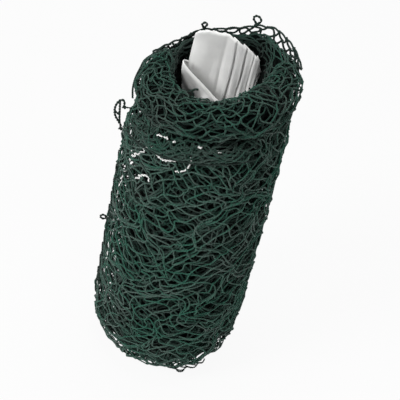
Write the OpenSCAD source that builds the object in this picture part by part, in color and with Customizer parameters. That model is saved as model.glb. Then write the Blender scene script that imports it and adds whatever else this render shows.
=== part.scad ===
// Tall mesh produce bag: a round-bottomed sack of knotted twine net, packed several plies deep,
// its mouth turned out into a thick slanting roll, with a folded cotton liner in the hollow.
// Millimetres. Z is up, the origin is the centre of the foot, and -Y is the bag's front.

/* [Bag] */
// Height of the roll's crest in front
bag_h = 416; // [404:2:430]
// Radius of the net wall
wall_r = 84; // [82:1:88]
// Radius of the flat that the bag stands on
foot_r = 42; // [36:1:46]
// Height of the rounded bottom
base_h = 66; // [60:1:70]
// Thickness of one ply of slack net
ply_t = 8; // [6:0.5:8]

/* [Mouth] */
// Radius of the hollow
hollow_r = 43; // [40:1:44]
// Distance that the hollow lies behind the bag's axis
hollow_back = 12; // [8:1:14]
// Thickness of the roll round the mouth
roll_d = 47; // [44:1:50]
// Distance that the roll stands out past the wall
roll_out = 3; // [2:0.5:4]
// Thickness of the thin lip behind the mouth
lip_t = 7; // [6:0.5:9]
// Degrees that the mouth's right side is tilted up
side_lean = 10; // [6:1:12]

/* [Twine] */
// Diameter of the net's own twine
twine_d = 1.7; // [1.4:0.1:2]
// Diameter of the heavier cords
cord_d = 3; // [2.5:0.1:3.4]

/* [Liner] */
// Width of the folded cloth at its foot
liner_w = 56; // [48:1:58]
// Width of the folded cloth at its top
liner_top_w = 72; // [60:1:74]
// Thickness of the folded cloth
liner_t = 26; // [20:1:28]
// Distance that the cloth's top lies above the roll's crest in front
liner_up = 4; // [0:1:10]

/* [Hidden] */
$fn = 96;

GREEN = "#2f5547";
DEEP_GREEN = "#1d3a30";
CORD_GREEN = "#3b6656";
WHITE = "#e9e8e4";

gap = 0.3;             // clearance between plies
arc_steps = 12;        // points along a quarter arc of a profile
pucker_r = 20;         // radius of the dimple that the gathering cord draws up
pucker_h = 7;          // height of the dimple
floor_z = 44;          // underside of the lining's floor
twine_r = twine_d / 2;
cord_r = cord_d / 2;
wall_in = wall_r - ply_t;                      // inner radius of the outer ply
lining_r = hollow_r + ply_t - 1;               // outer radius of the lining
roll_r = wall_r + roll_out;                    // outer radius of the roll
crest_r = roll_r - roll_d / 2;                 // radius of the roll's crest
front_lean = 3;                                // degrees that the roll's front is tilted up
seam_lean = 12;                                // the same for the seam under the roll
roll_z = bag_h - roll_d / 2 - crest_r * sin(front_lean);   // middle of the roll
seam_z = roll_z - 24;                          // height of the seam on the bag's axis
roll_shift = [3, -4];                          // place of the middle of the roll's outside
round_r = roll_r + roll_shift.y;               // radius of the roll's outside about that place
flat_turn = 138;                               // direction of the roll's flattened side, in degrees
flat_r = roll_r - 17;                          // distance of that side from the bag's axis
cuff_t = 4;                                    // thickness of the cuff's skirt
cuff_drop = 24;                                // length of the skirt below the roll
cuff_from = 205;                               // direction in which the skirt starts, in degrees
cuff_turn = 105;                               // angle that the skirt covers, in degrees

// Points of a quarter ellipse that runs from [r0, z0] out and up to [r0 + rx, z0 + rz].
function bowl_arc(r0, z0, rx, rz) =
    [for (i = [0:arc_steps]) let (a = 90 * i / arc_steps)
        [r0 + rx * sin(a), z0 + rz * (1 - cos(a))]];

function reversed(list) = [for (i = [len(list) - 1:-1:0]) list[i]];

function unit(v) = v / norm(v);

// Height of the slanting seam under the roll.
function seam_at(x, y) =
    seam_z + x * tan(side_lean) - y * tan(seam_lean) / cos(side_lean);

// Height of the roll's slanting middle plane.
function roll_at(x, y) =
    roll_z + x * tan(side_lean) - y * tan(front_lean) / cos(side_lean);

// Distance from the bag's axis to the roll's outside, in a direction in degrees.
function outline_r(a) =
    let (
        near = roll_shift.x * cos(a) + roll_shift.y * sin(a),
        off = roll_shift.x * sin(a) - roll_shift.y * cos(a),
        lean = cos(a - flat_turn),
        reach = near + sqrt(round_r * round_r - off * off)
    )
    lean > 0.5 ? min(reach, flat_r / lean) : reach;

// A ring of round cord about the Z axis.
module cord_ring(ring_r, r) {
    rotate_extrude() translate([ring_r, 0]) circle(r, $fn = 24);
}

// A closed skin over rings of points, each of the same number of sides.
module skin(rings, sides) {
    last = len(rings) / sides - 1;
    walls = [for (i = [0:last - 1], k = [0:sides - 1])
        let (low = i * sides, high = low + sides, next = (k + 1) % sides)
        for (face = [[low + k, high + k, high + next], [low + k, high + next, low + next]]) face];
    caps = [[for (k = [0:sides - 1]) k], [for (k = [sides - 1:-1:0]) last * sides + k]];
    polyhedron(rings, concat(walls, caps));
}

// A tube of twine swept along points. No stretch of the route runs along side.
module tube(points, r, side = [0, 0, 1], sides = 8) {
    last = len(points) - 1;
    ahead = [for (i = [0:last]) unit(points[min(i + 1, last)] - points[max(i - 1, 0)])];
    skin([for (i = [0:last]) let (a = unit(cross(side, ahead[i])), b = cross(ahead[i], a))
        for (k = [0:sides - 1]) points[i] + r * (cos(360 * k / sides) * a + sin(360 * k / sides) * b)
    ], sides);
}

// Route of a small slack loop that stands up along Z on two legs, in the XZ plane.
function loop_route(loop_r, neck, leg) = concat(
    [[-leg, 0, -1], [-leg, 0, neck * 0.5]],
    [for (a = [235:-29:-55]) [loop_r * cos(a), 0, neck + loop_r + loop_r * sin(a)]],
    [[leg, 0, neck * 0.5], [leg, 0, -1]]
);

module twine_loop(loop_r, neck) {
    tube(loop_route(loop_r, neck, twine_r + 0.15), twine_r, side = [0, 1, 0]);
}

// Everything above the seam's slanting plane, moved up by lift.
module above_seam(lift) {
    translate([0, 0, seam_z + lift]) rotate([-seam_lean, -side_lean, 0])
        translate([-150, -150, 0]) cube(300);
}

// Everything below the same plane.
module below_seam(lift) {
    translate([0, 0, seam_z + lift]) rotate([-seam_lean, -side_lean, 0])
        translate([-150, -150, -300]) cube(300);
}

// Places children in the roll's own slanting frame.
module at_roll() {
    translate([0, 0, roll_z]) rotate([-front_lean, -side_lean, 0]) children();
}

module outer_net_wall() {
    color(GREEN) difference() {
        translate([0, 0, base_h]) cylinder(r = wall_r, h = seam_z + 60 - base_h);
        translate([0, 0, base_h - 1]) cylinder(r = wall_in, h = seam_z + 70 - base_h);
        above_seam(-0.5);
    }
}

// Rounded bottom, drawn up into a dimple at its centre.
module base_net() {
    color(GREEN) rotate_extrude() polygon(concat(
        [[0, pucker_h], [pucker_r - 3, pucker_h], [pucker_r, 0]],
        bowl_arc(foot_r, 0, wall_r - foot_r, base_h),
        reversed(bowl_arc(foot_r, ply_t, wall_in - foot_r, base_h - ply_t)),
        [[pucker_r + 4, ply_t], [pucker_r, pucker_h + 6], [0, pucker_h + 6]]
    ));
}

// Slack net packed between the outer ply and the lining, thick in front and thin behind.
module packed_net() {
    color(DEEP_GREEN) difference() {
        translate([0, 0, base_h]) cylinder(r = wall_in - gap, h = seam_z + 60 - base_h);
        translate([0, hollow_back, base_h - 1]) cylinder(r = lining_r + gap, h = seam_z + 70 - base_h);
        above_seam(-0.5);
    }
}

// Slack net packed in the bowl, under the lining's floor.
module packed_net_bottom() {
    rise = base_h - ply_t - gap;
    color(DEEP_GREEN) difference() {
        rotate_extrude() polygon(concat(
            [[0, pucker_h + 6 + gap], [pucker_r, pucker_h + 6 + gap], [pucker_r + 6, ply_t + gap]],
            bowl_arc(foot_r, ply_t + gap, wall_in - gap - foot_r, rise),
            [[0, base_h]]
        ));
        translate([0, hollow_back, floor_z - gap]) cylinder(r = lining_r + gap, h = base_h);
    }
}

module inner_net_lining() {
    color(DEEP_GREEN) translate([0, hollow_back, 0]) difference() {
        translate([0, 0, floor_z + ply_t]) cylinder(r = lining_r, h = seam_z + 60 - floor_z);
        translate([0, 0, floor_z]) cylinder(r = hollow_r, h = seam_z + 70 - floor_z);
        translate([0, -hollow_back, 0]) above_seam(-0.5);
    }
}

module inner_net_floor() {
    color(DEEP_GREEN) translate([0, hollow_back, floor_z]) cylinder(r = lining_r, h = ply_t);
}

// Opening through the roll: round in front, drawn out backwards to the thin lip.
module mouth() {
    mouth_r = hollow_r + 1.6;
    front_y = mouth_r - (crest_r - roll_d / 2) + 0.5;
    back_y = outline_r(90) - lip_t - mouth_r;
    translate([1, 0, seam_z - 60]) {
        for (y = [front_y, back_y]) translate([0, y, 0]) cylinder(r = mouth_r, h = 200);
        translate([-mouth_r, front_y, 0]) cube([2 * mouth_r, back_y - front_y, 200]);
    }
}

// Rim of the net rolled outwards: fat in front and at the sides, slim behind, where a ledge
// closes the packed net.
module mouth_roll() {
    thick = roll_d / 2;
    flare = 20;                     // widening of the skirt that the upright cylinder then trims
    crown = [for (i = [0:2 * arc_steps]) let (a = 90 * i / arc_steps)
        [crest_r + thick * cos(a), thick * sin(a)]];
    color(GREEN) difference() {
        intersection() {
            at_roll() rotate_extrude() polygon(concat(
                [[0, -80], [roll_r + flare, -80]],
                crown,
                [[0, 0]]
            ));
            translate([roll_shift.x, roll_shift.y, seam_z - 60]) cylinder(r = round_r, h = 200);
        }
        rotate([0, 0, flat_turn]) translate([flat_r, -100, seam_z - 60]) cube(200);
        intersection() {
            mouth();
            above_seam(5);
        }
        translate([0, hollow_back, seam_z - 60]) cylinder(r = hollow_r, h = 200);
        below_seam(0);
    }
}

// Skirt of turned-down net below the roll, from the left round to the front.
module cuff_net() {
    color(GREEN) difference() {
        rotate([0, 0, cuff_from]) rotate_extrude(angle = cuff_turn)
            translate([wall_r + gap, seam_z - 80]) square([cuff_t, 160]);
        above_seam(-0.5);
        below_seam(-cuff_drop);
    }
}

// Thin lip of net that stands up round the back of the mouth, outside the roll.
rim_from = 16;         // direction in which the lip starts, in degrees
rim_to = 156;          // direction in which it ends
rim_steps = 28;
rim_t = 2.4;           // thickness of the lip
rim_gap = 1.2;         // clearance between the lip and the roll
rim_rise = [           // height of the lip's cord above the roll's middle, by direction
    [16, 12], [27, 18], [40, 23], [57, 26], [70, 23], [80, 16], [97, 10], [108, 11.5], [128, 11],
    [145, 10], [156, 9]
];
function rim_turn(i) = rim_from + (rim_to - rim_from) * i / rim_steps;
function rim_point(a, out, up) =
    let (r = outline_r(a) + rim_gap + out, x = r * cos(a), y = r * sin(a))
    [x, y, roll_at(x, y) + up];
module rim_lip() {
    color(GREEN) skin([
        for (i = [0:rim_steps])
            let (a = rim_turn(i), top = lookup(a, rim_rise) - cord_r - gap)
            for (corner = [[0, -2], [0, top], [rim_t, top], [rim_t, -2]])
                rim_point(a, corner[0], corner[1])
    ], 4);
}

// Selvedge cord that runs along the lip's top.
module rim_cord() {
    color(CORD_GREEN) tube([for (i = [0:rim_steps])
        rim_point(rim_turn(i), rim_t / 2, lookup(rim_turn(i), rim_rise))], cord_r);
}

// Cord through the lowest meshes of the cuff.
module cuff_edge_cord() {
    ring_r = wall_r + gap + cord_r;
    steps = 20;
    color(CORD_GREEN) tube([
        for (i = [0:steps])
            let (a = cuff_from + cuff_turn * i / steps, x = ring_r * cos(a), y = ring_r * sin(a))
            [x, y, seam_at(x, y) - cuff_drop - cord_r - 0.6]
    ], cord_r);
}

// Closed cord that gathers the net's last meshes under the bag.
gather_r = 12;
gather_z = pucker_h - cord_r - gap;
module base_gather_cord() {
    color(CORD_GREEN) translate([0, 0, gather_z]) cord_ring(gather_r, cord_r);
}

// Knot that ties the gathering cord, inside its ring.
module base_knot() {
    lump_r = 2.4;
    tail_l = 7;
    low = pucker_h - lump_r - 2 * gap;
    color(CORD_GREEN) translate([gather_r - cord_r - lump_r - gap, 0, low]) {
        sphere(lump_r, $fn = 32);
        for (turn = [155, 205]) rotate([0, 0, turn]) rotate([0, 86, 0])
            cylinder(r = twine_r, h = tail_l, $fn = 24);
    }
}

// Twine that laces the net's two side edges together, in a zigzag up the left of the bag.
module side_lacing() {
    lace_r = wall_r + gap + twine_r + 0.2;
    lace_turn = 196;                // direction of the seam round the bag, in degrees
    half_turn = 3.2;                // half the zigzag's width, in degrees
    low = base_h + 6;
    high = seam_z - 70;
    steps = 22;
    function at(i) = let (a = lace_turn + half_turn * (i % 2 == 0 ? 1 : -1))
        [lace_r * cos(a), lace_r * sin(a), low + (high - low) * i / steps];
    color(CORD_GREEN) tube([for (i = [0:steps]) at(i)], twine_r,
        side = [cos(lace_turn), sin(lace_turn), 0]);
}

// Hanging loop on the left, which swings about the upright line through its two knots.
loop_turn = 188;       // direction of the loop round the bag, in degrees
loop_low = seam_z - 54;              // height of the lower knot
loop_high = loop_low + 30;           // height of the upper knot
knot_r = 2.4;
loop_axis_r = wall_r + knot_r + 0.6;
loop_route = [
    [0, 0, 3.2], [1.0, 0, 5.6], [3.6, 0, 10], [7.2, 0, 16], [9, 0, 23],
    [8.8, 0, 30], [6.6, 0, 36.5], [3, 0, 39.4], [0.8, 0, 37.2], [0.2, 0, 33.4]
];
loop_rung = [[1.8, 0, 7], [2.9, 0, 14], [3.9, 0, 24], [5.2, 0, 37.6]];
loop_link = [[9, 0, 23.4], [6.2, 0, 20.6], [3.5, 0, 20]];
module at_hang_loop() {
    rotate([0, 0, loop_turn]) translate([loop_axis_r, 0, loop_low]) children();
}
module hang_loop() {
    color(CORD_GREEN) at_hang_loop()
        for (route = [loop_route, loop_rung, loop_link]) tube(route, twine_r, side = [0, 1, 0]);
}

// The two knots that tie the hanging loop to the net, each on a short leg from the wall.
module hang_loop_knots() {
    wall_leg = loop_axis_r - wall_r - 0.5;   // reach from a knot back to the wall
    color(CORD_GREEN) at_hang_loop()
        for (z = [0, loop_high - loop_low]) translate([0, 0, z]) {
            cylinder(r = knot_r, h = 1.6 * knot_r, center = true, $fn = 48);
            rotate([0, -90, 0]) cylinder(r = twine_r, h = wall_leg, $fn = 24);
        }
}

// Slack loops that stand on the selvedge cord behind the mouth.
module rim_loops() {
    color(CORD_GREEN) for (loop = [[72, 4.2, 0.8], [109, 2.6, 0.8]])
        translate(rim_point(loop[0], rim_t / 2, lookup(loop[0], rim_rise) + cord_r + gap + 1.8))
            rotate([0, 0, loop[0] + 90]) twine_loop(loop[1], loop[2]);
}

// Slack loop that stands out of the left wall.
module side_loop() {
    color(CORD_GREEN) rotate([0, 0, 184]) translate([wall_r + 1 + gap, 0, 0.41 * bag_h])
        rotate([0, 90, 0]) twine_loop(3, 0.4);
}

// Row of slack meshes that hangs off the rounded bottom at the front's right.
module base_loops() {
    bend = 45;                      // place on the bowl's quarter arc, in degrees
    off = [2.2, 4.6, 5.2, 2.6, 4.8, 5.4, 3, 4.6, 2.2];
    function at(i) = let (a = 291 + 4 * i, r = foot_r + (wall_r - foot_r) * sin(bend) + off[i] * cos(bend))
        [r * cos(a), r * sin(a), base_h * (1 - cos(bend)) - off[i] * sin(bend)];
    color(CORD_GREEN) tube([for (i = [0:len(off) - 1]) at(i)], twine_r);
}

// Outline of the folded cloth: a slab with one side rounded by its folds.
module fold_outline(width, depth) {
    hull() {
        translate([-width / 2 + depth / 2, 0]) circle(depth / 2, $fn = 32);
        translate([width / 2 - 6, depth / 2 - 6]) circle(6, $fn = 32);
        translate([width / 2 - 6, 6 - depth / 2]) circle(6, $fn = 32);
    }
}

// Cotton cloth folded into a pleated fan, standing on the hollow's floor.
liner_foot = floor_z + ply_t + gap;
liner_y = hollow_back + 11;
liner_back = 9;        // distance that the cloth's top leans back over the thin lip
module liner_cloth() {
    high = bag_h + liner_up - liner_foot;
    waist = seam_z + 2 - liner_foot;
    waist_w = (liner_w + 3 * liner_top_w) / 4;
    color(WHITE) translate([2, liner_y, liner_foot]) rotate([0, 0, -12]) {
        hull() {
            linear_extrude(1) fold_outline(liner_w, liner_t);
            translate([0, 0, waist]) linear_extrude(1) fold_outline(waist_w, liner_t);
        }
        hull() {
            translate([0, 0, waist]) linear_extrude(1) fold_outline(waist_w, liner_t);
            translate([0, liner_back, high - 10]) linear_extrude(10)
                fold_outline(liner_top_w, liner_t);
        }
    }
}

// Corner of the cloth turned back in front of the fan, its top edge falling to the right.
module liner_flap() {
    flap_t = 7;
    flap_w = 34;
    tall = 120;
    color(WHITE) translate([-19, liner_y - 17, bag_h - 2 - tall]) rotate([0, 0, -22])
        translate([-flap_w / 2, flap_t / 2, 0]) rotate([90, 0, 0]) linear_extrude(flap_t)
            polygon([[0, 0], [flap_w, 0], [flap_w, tall - 48], [3, tall], [0, tall - 3]]);
}

outer_net_wall();
base_net();
packed_net();
packed_net_bottom();
inner_net_lining();
inner_net_floor();
mouth_roll();
rim_lip();
cuff_net();
rim_cord();
cuff_edge_cord();
base_gather_cord();
base_knot();
side_lacing();
hang_loop();
hang_loop_knots();
rim_loops();
side_loop();
base_loops();
liner_cloth();
liner_flap();
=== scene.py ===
"""Looks of a tall mesh produce bag: plies of knotted twine net, a rolled mouth and a cotton liner.

Every length is in metres and every place is in the frame's own axes: Z is up, the origin is the
centre of the foot and -Y is the bag's front.
"""

from __future__ import annotations

import logging
import math
from dataclasses import dataclass
from enum import Enum
from typing import Any, Callable, Mapping, Sequence, Union

import bpy
import numpy as np
from mathutils import Matrix, Vector

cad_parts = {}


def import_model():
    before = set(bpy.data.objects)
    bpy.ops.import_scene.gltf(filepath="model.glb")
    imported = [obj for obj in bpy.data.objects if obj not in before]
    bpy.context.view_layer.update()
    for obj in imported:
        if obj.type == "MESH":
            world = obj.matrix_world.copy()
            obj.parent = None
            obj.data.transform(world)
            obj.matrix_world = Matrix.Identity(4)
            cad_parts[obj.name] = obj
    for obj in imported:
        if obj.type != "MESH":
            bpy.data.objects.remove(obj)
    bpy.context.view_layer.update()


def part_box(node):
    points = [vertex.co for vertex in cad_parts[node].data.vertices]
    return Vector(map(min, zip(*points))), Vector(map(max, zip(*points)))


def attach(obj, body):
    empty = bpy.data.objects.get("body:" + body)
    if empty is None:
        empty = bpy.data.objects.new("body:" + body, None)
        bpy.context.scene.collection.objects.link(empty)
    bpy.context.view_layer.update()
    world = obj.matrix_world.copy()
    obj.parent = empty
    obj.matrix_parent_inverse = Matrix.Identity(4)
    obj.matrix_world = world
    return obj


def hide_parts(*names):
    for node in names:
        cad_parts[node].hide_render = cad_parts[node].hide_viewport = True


LOG = logging.getLogger("produce_bag")
MM = 0.001
TURN = 2 * math.pi
TWIST = 3.2 * MM  # length of one full twist of the twine
START_ACROSS = (0.13, 0.41, 0.9)  # slants, so that no cord or twine starts out along it

Array = np.ndarray


# ---------------------------------------------------------------------------------------------
# Sizes
# ---------------------------------------------------------------------------------------------


@dataclass(frozen=True)
class BagSizes:
    """Sizes of the bag. Radii and heights that a node's box shows are read from the frame.

    Attributes:
        wall_r: Radius of the net wall.
        roll_r: Outer radius of the rolled mouth.
        base_h: Height of the rounded bottom.
        floor_z: Top of the hollow's floor.
        hollow_y: Distance of the hollow's axis behind the bag's own.
        pucker_r: Radius of the dimple under the foot.
        roll_shift: How far the roll's middle lies off the bag's axis, along X and Y.
        flat_turn: Direction in which the roll is flattened, by flat_inset.
        rim_turns: Directions of the lip, in degrees, with its heights, in millimetres, in rim_rises.
        side_lean: Slant of the roll and of the seam under it, upwards to the right.
        front_lean: Slant of the roll, downwards to the back.
        seam_lean: Slant of the seam, downwards to the back.
    """

    wall_r: float
    roll_r: float
    base_h: float
    floor_z: float
    hollow_y: float
    bag_h: float = 416 * MM
    foot_r: float = 42 * MM
    pucker_r: float = 20 * MM
    pucker_h: float = 7 * MM
    hollow_r: float = 43 * MM
    roll_thick: float = 23.5 * MM
    lip_t: float = 7 * MM
    roll_shift: tuple[float, float] = (3 * MM, -4 * MM)
    flat_turn: float = math.radians(138)
    flat_inset: float = 17 * MM
    rim_gap: float = 1.2 * MM
    rim_t: float = 2.4 * MM
    rim_turns: tuple[float, ...] = (16, 27, 40, 57, 70, 80, 97, 108, 128, 145, 156)
    rim_rises: tuple[float, ...] = (12, 18, 23, 26, 23, 16, 10, 11.5, 11, 10, 9)
    side_lean: float = math.radians(10)
    front_lean: float = math.radians(3)
    seam_lean: float = math.radians(12)
    seam_drop: float = 24 * MM
    cuff_drop: float = 24 * MM
    cuff_span: tuple[float, float] = (205.0, 310.0)
    twine_r: float = 0.85 * MM
    cord_r: float = 1.5 * MM

    @classmethod
    def from_frame(cls) -> "BagSizes":
        """Reads what the nodes' boxes tell."""
        wall_low, wall_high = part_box("outer_net_wall")
        floor_low, floor_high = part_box("inner_net_floor")
        return cls(
            wall_r=wall_high[0],
            roll_r=-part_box("mouth_roll")[0][1],
            base_h=wall_low[2],
            floor_z=floor_high[2],
            hollow_y=(floor_low[1] + floor_high[1]) / 2,
        )

    @property
    def crest_r(self) -> float:
        """Radius of the roll's crest."""
        return self.roll_r - self.roll_thick

    @property
    def roll_z(self) -> float:
        """Height of the roll's middle on the bag's axis."""
        return self.bag_h - self.roll_thick - self.crest_r * math.sin(self.front_lean)

    @property
    def seam_z(self) -> float:
        """Height of the seam under the roll on the bag's axis."""
        return self.roll_z - self.seam_drop

    def seam_at(self, x: Array, y: Array) -> Array:
        """Height of the slanting seam at x, y."""
        return self.seam_z + x * math.tan(self.side_lean) - y * math.tan(self.seam_lean)

    def roll_at(self, x: Array, y: Array) -> Array:
        """Height of the roll's slanting middle at x, y."""
        return self.roll_z + x * math.tan(self.side_lean) - y * math.tan(self.front_lean)

    def outline(self, theta: Array) -> Array:
        """Distance from the bag's axis to the roll's outside in each direction."""
        shift_x, shift_y = self.roll_shift
        near = shift_x * np.cos(theta) + shift_y * np.sin(theta)
        off = shift_x * np.sin(theta) - shift_y * np.cos(theta)
        near = near - 2 * MM * np.clip(np.cos(theta), 0, 1) ** 2
        reach = near + np.sqrt((self.roll_r + shift_y) ** 2 - off**2)
        lean = np.cos(theta - self.flat_turn)
        flat = (self.roll_r - self.flat_inset) / np.maximum(lean, 0.5)
        return np.where(lean > 0.5, np.minimum(reach, flat), reach)

    def rim_rise(self, theta: Array) -> Array:
        """Height of the lip's cord above the roll's middle in each direction."""
        turn = np.degrees(theta) % 360
        return np.interp(turn, self.rim_turns, self.rim_rises) * MM

    def rim_share(self, theta: Array) -> Array:
        """1 behind the mouth, where the lip stands, and 0 at the front."""
        turn = np.degrees(theta) % 360
        return ramp(turn, 8, 36) * (1 - ramp(turn, 138, 168))

    def rim_point(self, theta: Array, out: Array, up: Array) -> Array:
        """Points of the lip, out from its inner face and up from the roll's middle."""
        turn = np.degrees(theta) % 360
        r = self.outline(theta) + self.rim_gap + out - 2.8 * MM * (1 - ramp(turn, 30, 62))
        x, y = r * np.cos(theta), r * np.sin(theta)
        return np.stack([x, y, self.roll_at(x, y) + up], axis=-1)


# ---------------------------------------------------------------------------------------------
# Surfaces that the net follows
# ---------------------------------------------------------------------------------------------


def ramp(value: Array, low: float, high: float) -> Array:
    """Smooth step from 0 at low to 1 at high.

    Args:
        value: Values to grade.
        low: Value that gives 0.
        high: Value that gives 1.

    Returns:
        The graded values, from 0 to 1.
    """
    t = np.clip((value - low) / (high - low), 0, 1)
    return t * t * (3 - 2 * t)


def hump(value: Array, middle: float, width: float) -> Array:
    """Bell curve of height 1 about a middle."""
    return np.exp(-(((value - middle) / width) ** 2))


def facing(theta: Array, centre: float, width: float) -> Array:
    """Bell curve of height 1 about a direction."""
    return hump((theta - centre + math.pi) % TURN - math.pi, 0.0, width)


def all_round(count: int) -> Array:
    """Directions spaced evenly round the bag, as a column."""
    return np.linspace(0, TURN, count + 1)[:-1][:, None]


def running(steps: Array) -> Array:
    """Length run so far at each point of a path, from the lengths of its steps."""
    return np.concatenate([[0], np.cumsum(steps)])


def bottom_slump(v: Array) -> Array:
    """1 in the middle of the bag's rounded bottom, by share of the profile, falling away to 0."""
    return hump(v, 0.17, 0.09)


def unit(vectors: Array) -> Array:
    """Vectors of length one along the last axis."""
    return vectors / np.maximum(np.linalg.norm(vectors, axis=-1, keepdims=True), 1e-12)


class Form:
    """A surface given by the direction round the bag, theta, and a share v of its profile."""

    def surface(self, theta: Array, v: Array) -> Array:
        """Points of the surface."""
        raise NotImplementedError

    def place(self, theta: Array, v: Array, depth: Array) -> tuple[Array, Array]:
        """Points at a depth under the surface, with the surface's own normals.

        Args:
            theta: Directions round the bag, in radians.
            v: Shares of the profile, from 0 to 1.
            depth: Depths below the surface.

        Returns:
            The points and the outward normals.
        """
        step = 1e-3
        theta, v, depth = np.broadcast_arrays(theta, v, depth)
        here = self.surface(theta, v)
        round_way = self.surface(theta + step, v) - here
        low, high = np.clip(v - step, 0, 1), np.clip(v + step, 0, 1)
        up_way = self.surface(theta, high) - self.surface(theta, low)
        normal = unit(np.cross(unit(round_way), unit(up_way)))
        return here - normal * depth[..., None], normal


class BodyForm(Form):
    """Rounded bottom and wall, from the dimple under the foot up to a tuck behind the roll."""

    groove_h = 36 * MM
    groove_d = 10 * MM

    def __init__(self, sizes: BagSizes, inset: float = 0.0) -> None:
        """Lays out the profile.

        Args:
            sizes: The bag's sizes.
            inset: Distance that the whole surface lies inside the wall.
        """
        self.sizes = sizes
        lift = sizes.twine_r + 0.15 * MM + inset
        bend = np.linspace(0, math.pi / 2, 25)
        bowl_r = sizes.foot_r + (sizes.wall_r - inset - sizes.foot_r) * np.sin(bend)
        bowl_z = lift + (sizes.base_h - lift) * (1 - np.cos(bend))
        wall_z = np.linspace(sizes.base_h, sizes.seam_z, 60)[1:]
        groove = np.clip((wall_z - sizes.seam_z + self.groove_h) / self.groove_h, 0, 1)
        wall_r = sizes.wall_r - inset - self.groove_d * groove**1.2
        dimple_r = np.array([0.5, 0.8, 1.0]) * sizes.pucker_r
        dimple_z = lift + np.array([0.8, 0.45, 0.0]) * sizes.pucker_h
        tuck_r = wall_r[-1] - np.array([3, 7]) * MM
        tuck_z = sizes.seam_z + np.array([4, 7]) * MM
        self.r = np.concatenate([dimple_r, bowl_r, wall_r, tuck_r])
        self.z = np.concatenate([dimple_z, bowl_z, wall_z, tuck_z])
        run = running(np.hypot(np.diff(self.r), np.diff(self.z)))
        self.length = float(run[-1])
        self.v = run / run[-1]

    def surface(self, theta: Array, v: Array) -> Array:
        """Points of the surface, with the wall's rows tilting towards the slanting seam."""
        s = self.sizes
        r, z = np.interp(v, self.v, self.r), np.interp(v, self.v, self.z)
        turn = np.degrees(theta) % 360
        right = 0.65 * (1 - ramp(turn, 20, 90) + ramp(turn, 290, 340))
        r = r + right * np.clip(s.wall_r - r, 0, self.groove_d) * (z > s.base_h)
        x, y = r * np.cos(theta), r * np.sin(theta)
        tall = (s.seam_at(x, y) - s.base_h) / (s.seam_z - s.base_h)
        z = np.where(z > s.base_h, s.base_h + (z - s.base_h) * tall, z)
        return np.stack([x, y, z], axis=-1)


class RollForm(Form):
    """Rolled mouth: up the outside from the seam, over the crest and down into the hollow."""

    outer_share = 0.17
    crown_share = 0.66
    tuck_turn = math.radians(62)
    lip_shows = 4.5 * MM
    shoulder_turn = math.radians(322)

    def __init__(self, sizes: BagSizes, inner_drop: float = 62 * MM) -> None:
        """Keeps the sizes.

        Args:
            sizes: The bag's sizes.
            inner_drop: Depth to which the net goes down inside the hollow.
        """
        self.sizes = sizes
        self.inner_drop = inner_drop

    def mouth_edge(self, theta: Array) -> Array:
        """Distance from the bag's axis to the opening's edge in each direction."""
        s = self.sizes
        reach = s.hollow_r + 1.6 * MM
        front = reach - (s.crest_r - s.roll_thick)
        back = float(s.outline(np.array(math.pi / 2))) - s.lip_t - reach
        far = np.zeros_like(theta)
        for centre in np.linspace(front, back, 9):
            off = centre * np.cos(theta) - 1 * MM * np.sin(theta)
            near = centre * np.sin(theta) + 1 * MM * np.cos(theta)
            far = np.maximum(far, near + np.sqrt(reach**2 - off**2))
        return np.minimum(far, s.outline(theta) - 0.8 * s.lip_t)

    def lining_edge(self, theta: Array) -> Array:
        """Distance from the bag's axis to the lining's inner face in each direction."""
        s = self.sizes
        across = s.hollow_y * np.cos(theta)
        return s.hollow_y * np.sin(theta) + np.sqrt(s.hollow_r**2 - across**2) + 0.5 * MM

    def surface(self, theta: Array, v: Array) -> Array:
        """Points of the surface."""
        s = self.sizes
        bulge = facing(theta, self.shoulder_turn, 0.5)
        inner, outer = self.mouth_edge(theta) - 5.5 * MM * bulge, s.outline(theta)
        half = (outer - inner) / 2
        middle = (outer + inner) / 2
        past_crest = np.maximum(middle, s.crest_r) - s.crest_r
        rise = np.sqrt(np.maximum(s.roll_thick**2 - past_crest**2, 0)) + 3 * MM * bulge
        turn = np.degrees(theta) % 360
        shows = 1.5 * MM + self.lip_shows * ramp(turn, 22, 48) * (1 - ramp(turn, 82, 104))
        rise = rise + s.rim_share(theta) * (s.rim_rise(theta) - shows - rise)
        x, y = outer * np.cos(theta), outer * np.sin(theta)
        seam = s.seam_at(x, y) - s.roll_at(x, y)

        low = np.clip(v / self.outer_share, 0, 1)
        over = np.clip((v - self.outer_share) / (self.crown_share - self.outer_share), 0, 1) * math.pi
        down = np.clip((v - self.crown_share) / (1 - self.crown_share), 0, 1)
        under = self.tuck_turn * (1 - low)
        r = middle + half * np.where(low < 1, np.cos(under), np.cos(over))
        z = seam * np.sin(under) / math.sin(self.tuck_turn) + rise * np.sin(over) - self.inner_drop * down
        r = r + (self.lining_edge(theta) - r) * ramp(down, 0.1, 1.0)
        x, y = r * np.cos(theta), r * np.sin(theta)
        return np.stack([x, y, z + s.roll_at(x, y)], axis=-1)


class RimForm(Form):
    """Thin lip that stands up behind the mouth, outside the roll."""

    def __init__(self, sizes: BagSizes) -> None:
        """Keeps the sizes."""
        self.sizes = sizes

    def surface(self, theta: Array, v: Array) -> Array:
        """Points of the surface, from beside the roll up to the selvedge cord."""
        low = -2 * MM
        up = low + v * (self.sizes.rim_rise(theta) - low)
        return self.sizes.rim_point(theta, self.sizes.rim_t * (0.35 + 0.3 * v), up)


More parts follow.
